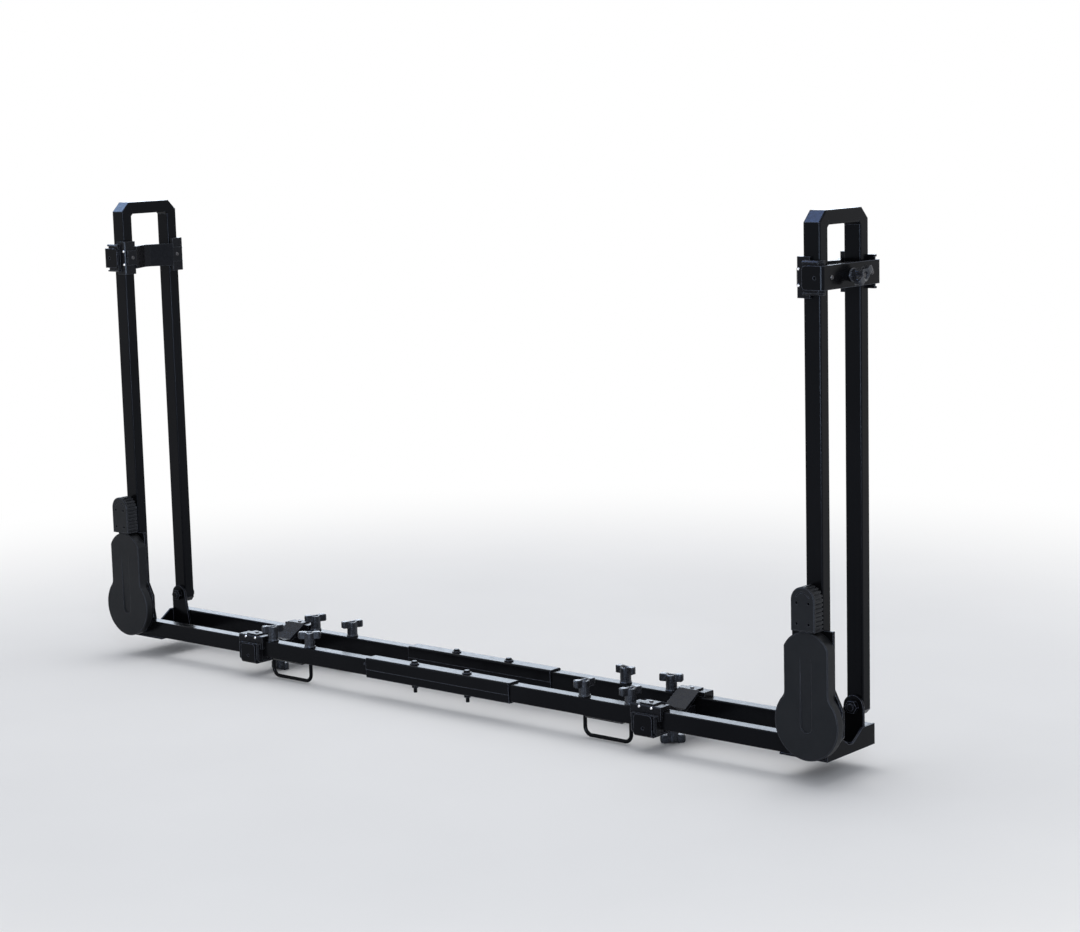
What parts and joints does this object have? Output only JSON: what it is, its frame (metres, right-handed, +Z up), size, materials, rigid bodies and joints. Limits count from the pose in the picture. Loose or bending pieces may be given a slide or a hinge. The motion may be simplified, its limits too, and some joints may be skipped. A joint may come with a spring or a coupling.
{
  "type": "roof mounted bike carrier",
  "caption": "Roof bicycle carrier with a twin rail tray on crossbar clamps, folding ratchet arms at both ends and sliding wheel brackets with V-shaped cradles.",
  "frame": {"origin": "middle of the tray, on the plane where the pads meet the crossbars", "axes": "+X along the tray to the front arm, +Y across it away from the ratchets, +Z up"},
  "size_m": [1.519, 0.162, 0.7878],
  "materials": {
    "black_steel": "satin black powder coat",
    "zinc_steel": "bright zinc plate",
    "bronze": "plain bronze",
    "charcoal_plastic": "fine grained",
    "black_plastic": "satin",
    "rubber": "matte"
  },
  "bodies": {
    "tray": {"near_front_rail": "black_steel", "far_front_rail": "black_steel", "near_rear_rail": "black_steel", "far_rear_rail": "black_steel", "near_sleeve": "black_steel", "far_sleeve": "black_steel", "sleeve_bolts": "black_steel", "rail_buttons": "black_steel", "front_end_bracket": "black_steel", "rear_end_bracket": "black_steel", "front_ubolts": "black_steel", "rear_ubolts": "black_steel", "crossbar_pads": "rubber", "front_ratchet_gear": "black_steel", "rear_ratchet_gear": "black_steel", "front_pivot_bolts": "black_steel", "rear_pivot_bolts": "black_steel"},
    "front_arm": {"front_arm_frame": "black_steel", "front_pivot_bushes": "bronze", "front_cover_base": "black_steel", "front_ratchet_cover": "charcoal_plastic", "front_pawl_spring": "zinc_steel"},
    "front_release": {"front_release_grip": "charcoal_plastic", "front_pawl": "zinc_steel"},
    "front_arm_bracket": {"front_arm_sliders": "black_plastic", "front_arm_strap": "black_steel", "front_arm_cradle": "black_plastic", "front_arm_screws": "zinc_steel"},
    "front_arm_bracket_knob": {"front_arm_knob": "black_plastic"},
    "front_tray_bracket": {"front_tray_sliders": "black_plastic", "front_tray_strap": "black_steel", "front_tray_cradle": "black_plastic", "front_tray_screws": "zinc_steel"},
    "front_tray_bracket_knob": {"front_tray_knob": "black_plastic"},
    "rear_arm": {"rear_arm_frame": "black_steel", "rear_pivot_bushes": "bronze", "rear_cover_base": "black_steel", "rear_ratchet_cover": "charcoal_plastic", "rear_pawl_spring": "zinc_steel"},
    "rear_release": {"rear_release_grip": "charcoal_plastic", "rear_pawl": "zinc_steel"},
    "rear_arm_bracket": {"rear_arm_sliders": "black_plastic", "rear_arm_strap": "black_steel", "rear_arm_cradle": "black_plastic", "rear_arm_screws": "zinc_steel"},
    "rear_arm_bracket_knob": {"rear_arm_knob": "black_plastic"},
    "rear_tray_bracket": {"rear_tray_sliders": "black_plastic", "rear_tray_strap": "black_steel", "rear_tray_cradle": "black_plastic", "rear_tray_screws": "zinc_steel"},
    "rear_tray_bracket_knob": {"rear_tray_knob": "black_plastic"},
    "ubolt_knob_1": {"ubolt_knob_1": "black_plastic"},
    "ubolt_knob_2": {"ubolt_knob_2": "black_plastic"},
    "ubolt_knob_3": {"ubolt_knob_3": "black_plastic"},
    "ubolt_knob_4": {"ubolt_knob_4": "black_plastic"},
    "ubolt_knob_5": {"ubolt_knob_5": "black_plastic"},
    "ubolt_knob_6": {"ubolt_knob_6": "black_plastic"},
    "ubolt_knob_7": {"ubolt_knob_7": "black_plastic"},
    "ubolt_knob_8": {"ubolt_knob_8": "black_plastic"}
  },
  "joints": [
    {"name": "front_arm_fold", "type": "hinge", "parent": "tray", "child": "front_arm", "pos_m": [0.7075, 0, 0.0555], "axis": [0, 1, 0], "range_deg": [-84, 90]},
    {"name": "front_release_slide", "type": "slide", "parent": "front_arm", "child": "front_release", "axis": [0, 0, 1], "range_m": [0, 0.01], "stiffness_N_per_m": 300, "springref_m": -0.006, "deforming": ["front_pawl_spring"]},
    {"name": "front_arm_bracket_slide", "type": "slide", "parent": "front_arm", "child": "front_arm_bracket", "axis": [0, 0, 1], "range_m": [-0.36, 0.03]},
    {"name": "front_arm_bracket_knob_turn", "type": "hinge", "parent": "front_arm_bracket", "child": "front_arm_bracket_knob", "pos_m": [0.7475, 0, 0.6655], "axis": [1, 0, 0], "continuous": true},
    {"name": "front_tray_bracket_slide", "type": "slide", "parent": "tray", "child": "front_tray_bracket", "axis": [1, 0, 0], "range_m": [0, 0.12]},
    {"name": "front_tray_bracket_knob_turn", "type": "hinge", "parent": "front_tray_bracket", "child": "front_tray_bracket_knob", "pos_m": [0.416, 0, -0.0245], "axis": [0, 0, -1], "continuous": true},
    {"name": "rear_arm_fold", "type": "hinge", "parent": "tray", "child": "rear_arm", "pos_m": [-0.7075, 0, 0.0555], "axis": [0, -1, 0], "range_deg": [-84, 90]},
    {"name": "rear_release_slide", "type": "slide", "parent": "rear_arm", "child": "rear_release", "axis": [0, 0, 1], "range_m": [0, 0.01], "stiffness_N_per_m": 300, "springref_m": -0.006, "deforming": ["rear_pawl_spring"]},
    {"name": "rear_arm_bracket_slide", "type": "slide", "parent": "rear_arm", "child": "rear_arm_bracket", "axis": [0, 0, 1], "range_m": [-0.36, 0.03]},
    {"name": "rear_arm_bracket_knob_turn", "type": "hinge", "parent": "rear_arm_bracket", "child": "rear_arm_bracket_knob", "pos_m": [-0.7475, 0, 0.6605], "axis": [-1, 0, 0], "continuous": true},
    {"name": "rear_tray_bracket_slide", "type": "slide", "parent": "tray", "child": "rear_tray_bracket", "axis": [-1, 0, 0], "range_m": [0, 0.12]},
    {"name": "rear_tray_bracket_knob_turn", "type": "hinge", "parent": "rear_tray_bracket", "child": "rear_tray_bracket_knob", "pos_m": [-0.416, 0, -0.0245], "axis": [0, 0, -1], "continuous": true},
    {"name": "ubolt_knob_1_turn", "type": "hinge", "parent": "tray", "child": "ubolt_knob_1", "pos_m": [0.2905, -0.05, 0.041], "axis": [0, 0, 1], "continuous": true},
    {"name": "ubolt_knob_2_turn", "type": "hinge", "parent": "tray", "child": "ubolt_knob_2", "pos_m": [0.3775, -0.05, 0.041], "axis": [0, 0, 1], "continuous": true},
    {"name": "ubolt_knob_3_turn", "type": "hinge", "parent": "tray", "child": "ubolt_knob_3", "pos_m": [0.2905, 0.05, 0.041], "axis": [0, 0, 1], "continuous": true},
    {"name": "ubolt_knob_4_turn", "type": "hinge", "parent": "tray", "child": "ubolt_knob_4", "pos_m": [0.3775, 0.05, 0.041], "axis": [0, 0, 1], "continuous": true},
    {"name": "ubolt_knob_5_turn", "type": "hinge", "parent": "tray", "child": "ubolt_knob_5", "pos_m": [-0.3775, -0.05, 0.041], "axis": [0, 0, 1], "continuous": true},
    {"name": "ubolt_knob_6_turn", "type": "hinge", "parent": "tray", "child": "ubolt_knob_6", "pos_m": [-0.2905, -0.05, 0.041], "axis": [0, 0, 1], "continuous": true},
    {"name": "ubolt_knob_7_turn", "type": "hinge", "parent": "tray", "child": "ubolt_knob_7", "pos_m": [-0.3775, 0.05, 0.041], "axis": [0, 0, 1], "continuous": true},
    {"name": "ubolt_knob_8_turn", "type": "hinge", "parent": "tray", "child": "ubolt_knob_8", "pos_m": [-0.2905, 0.05, 0.041], "axis": [0, 0, 1], "continuous": true}
  ]
}
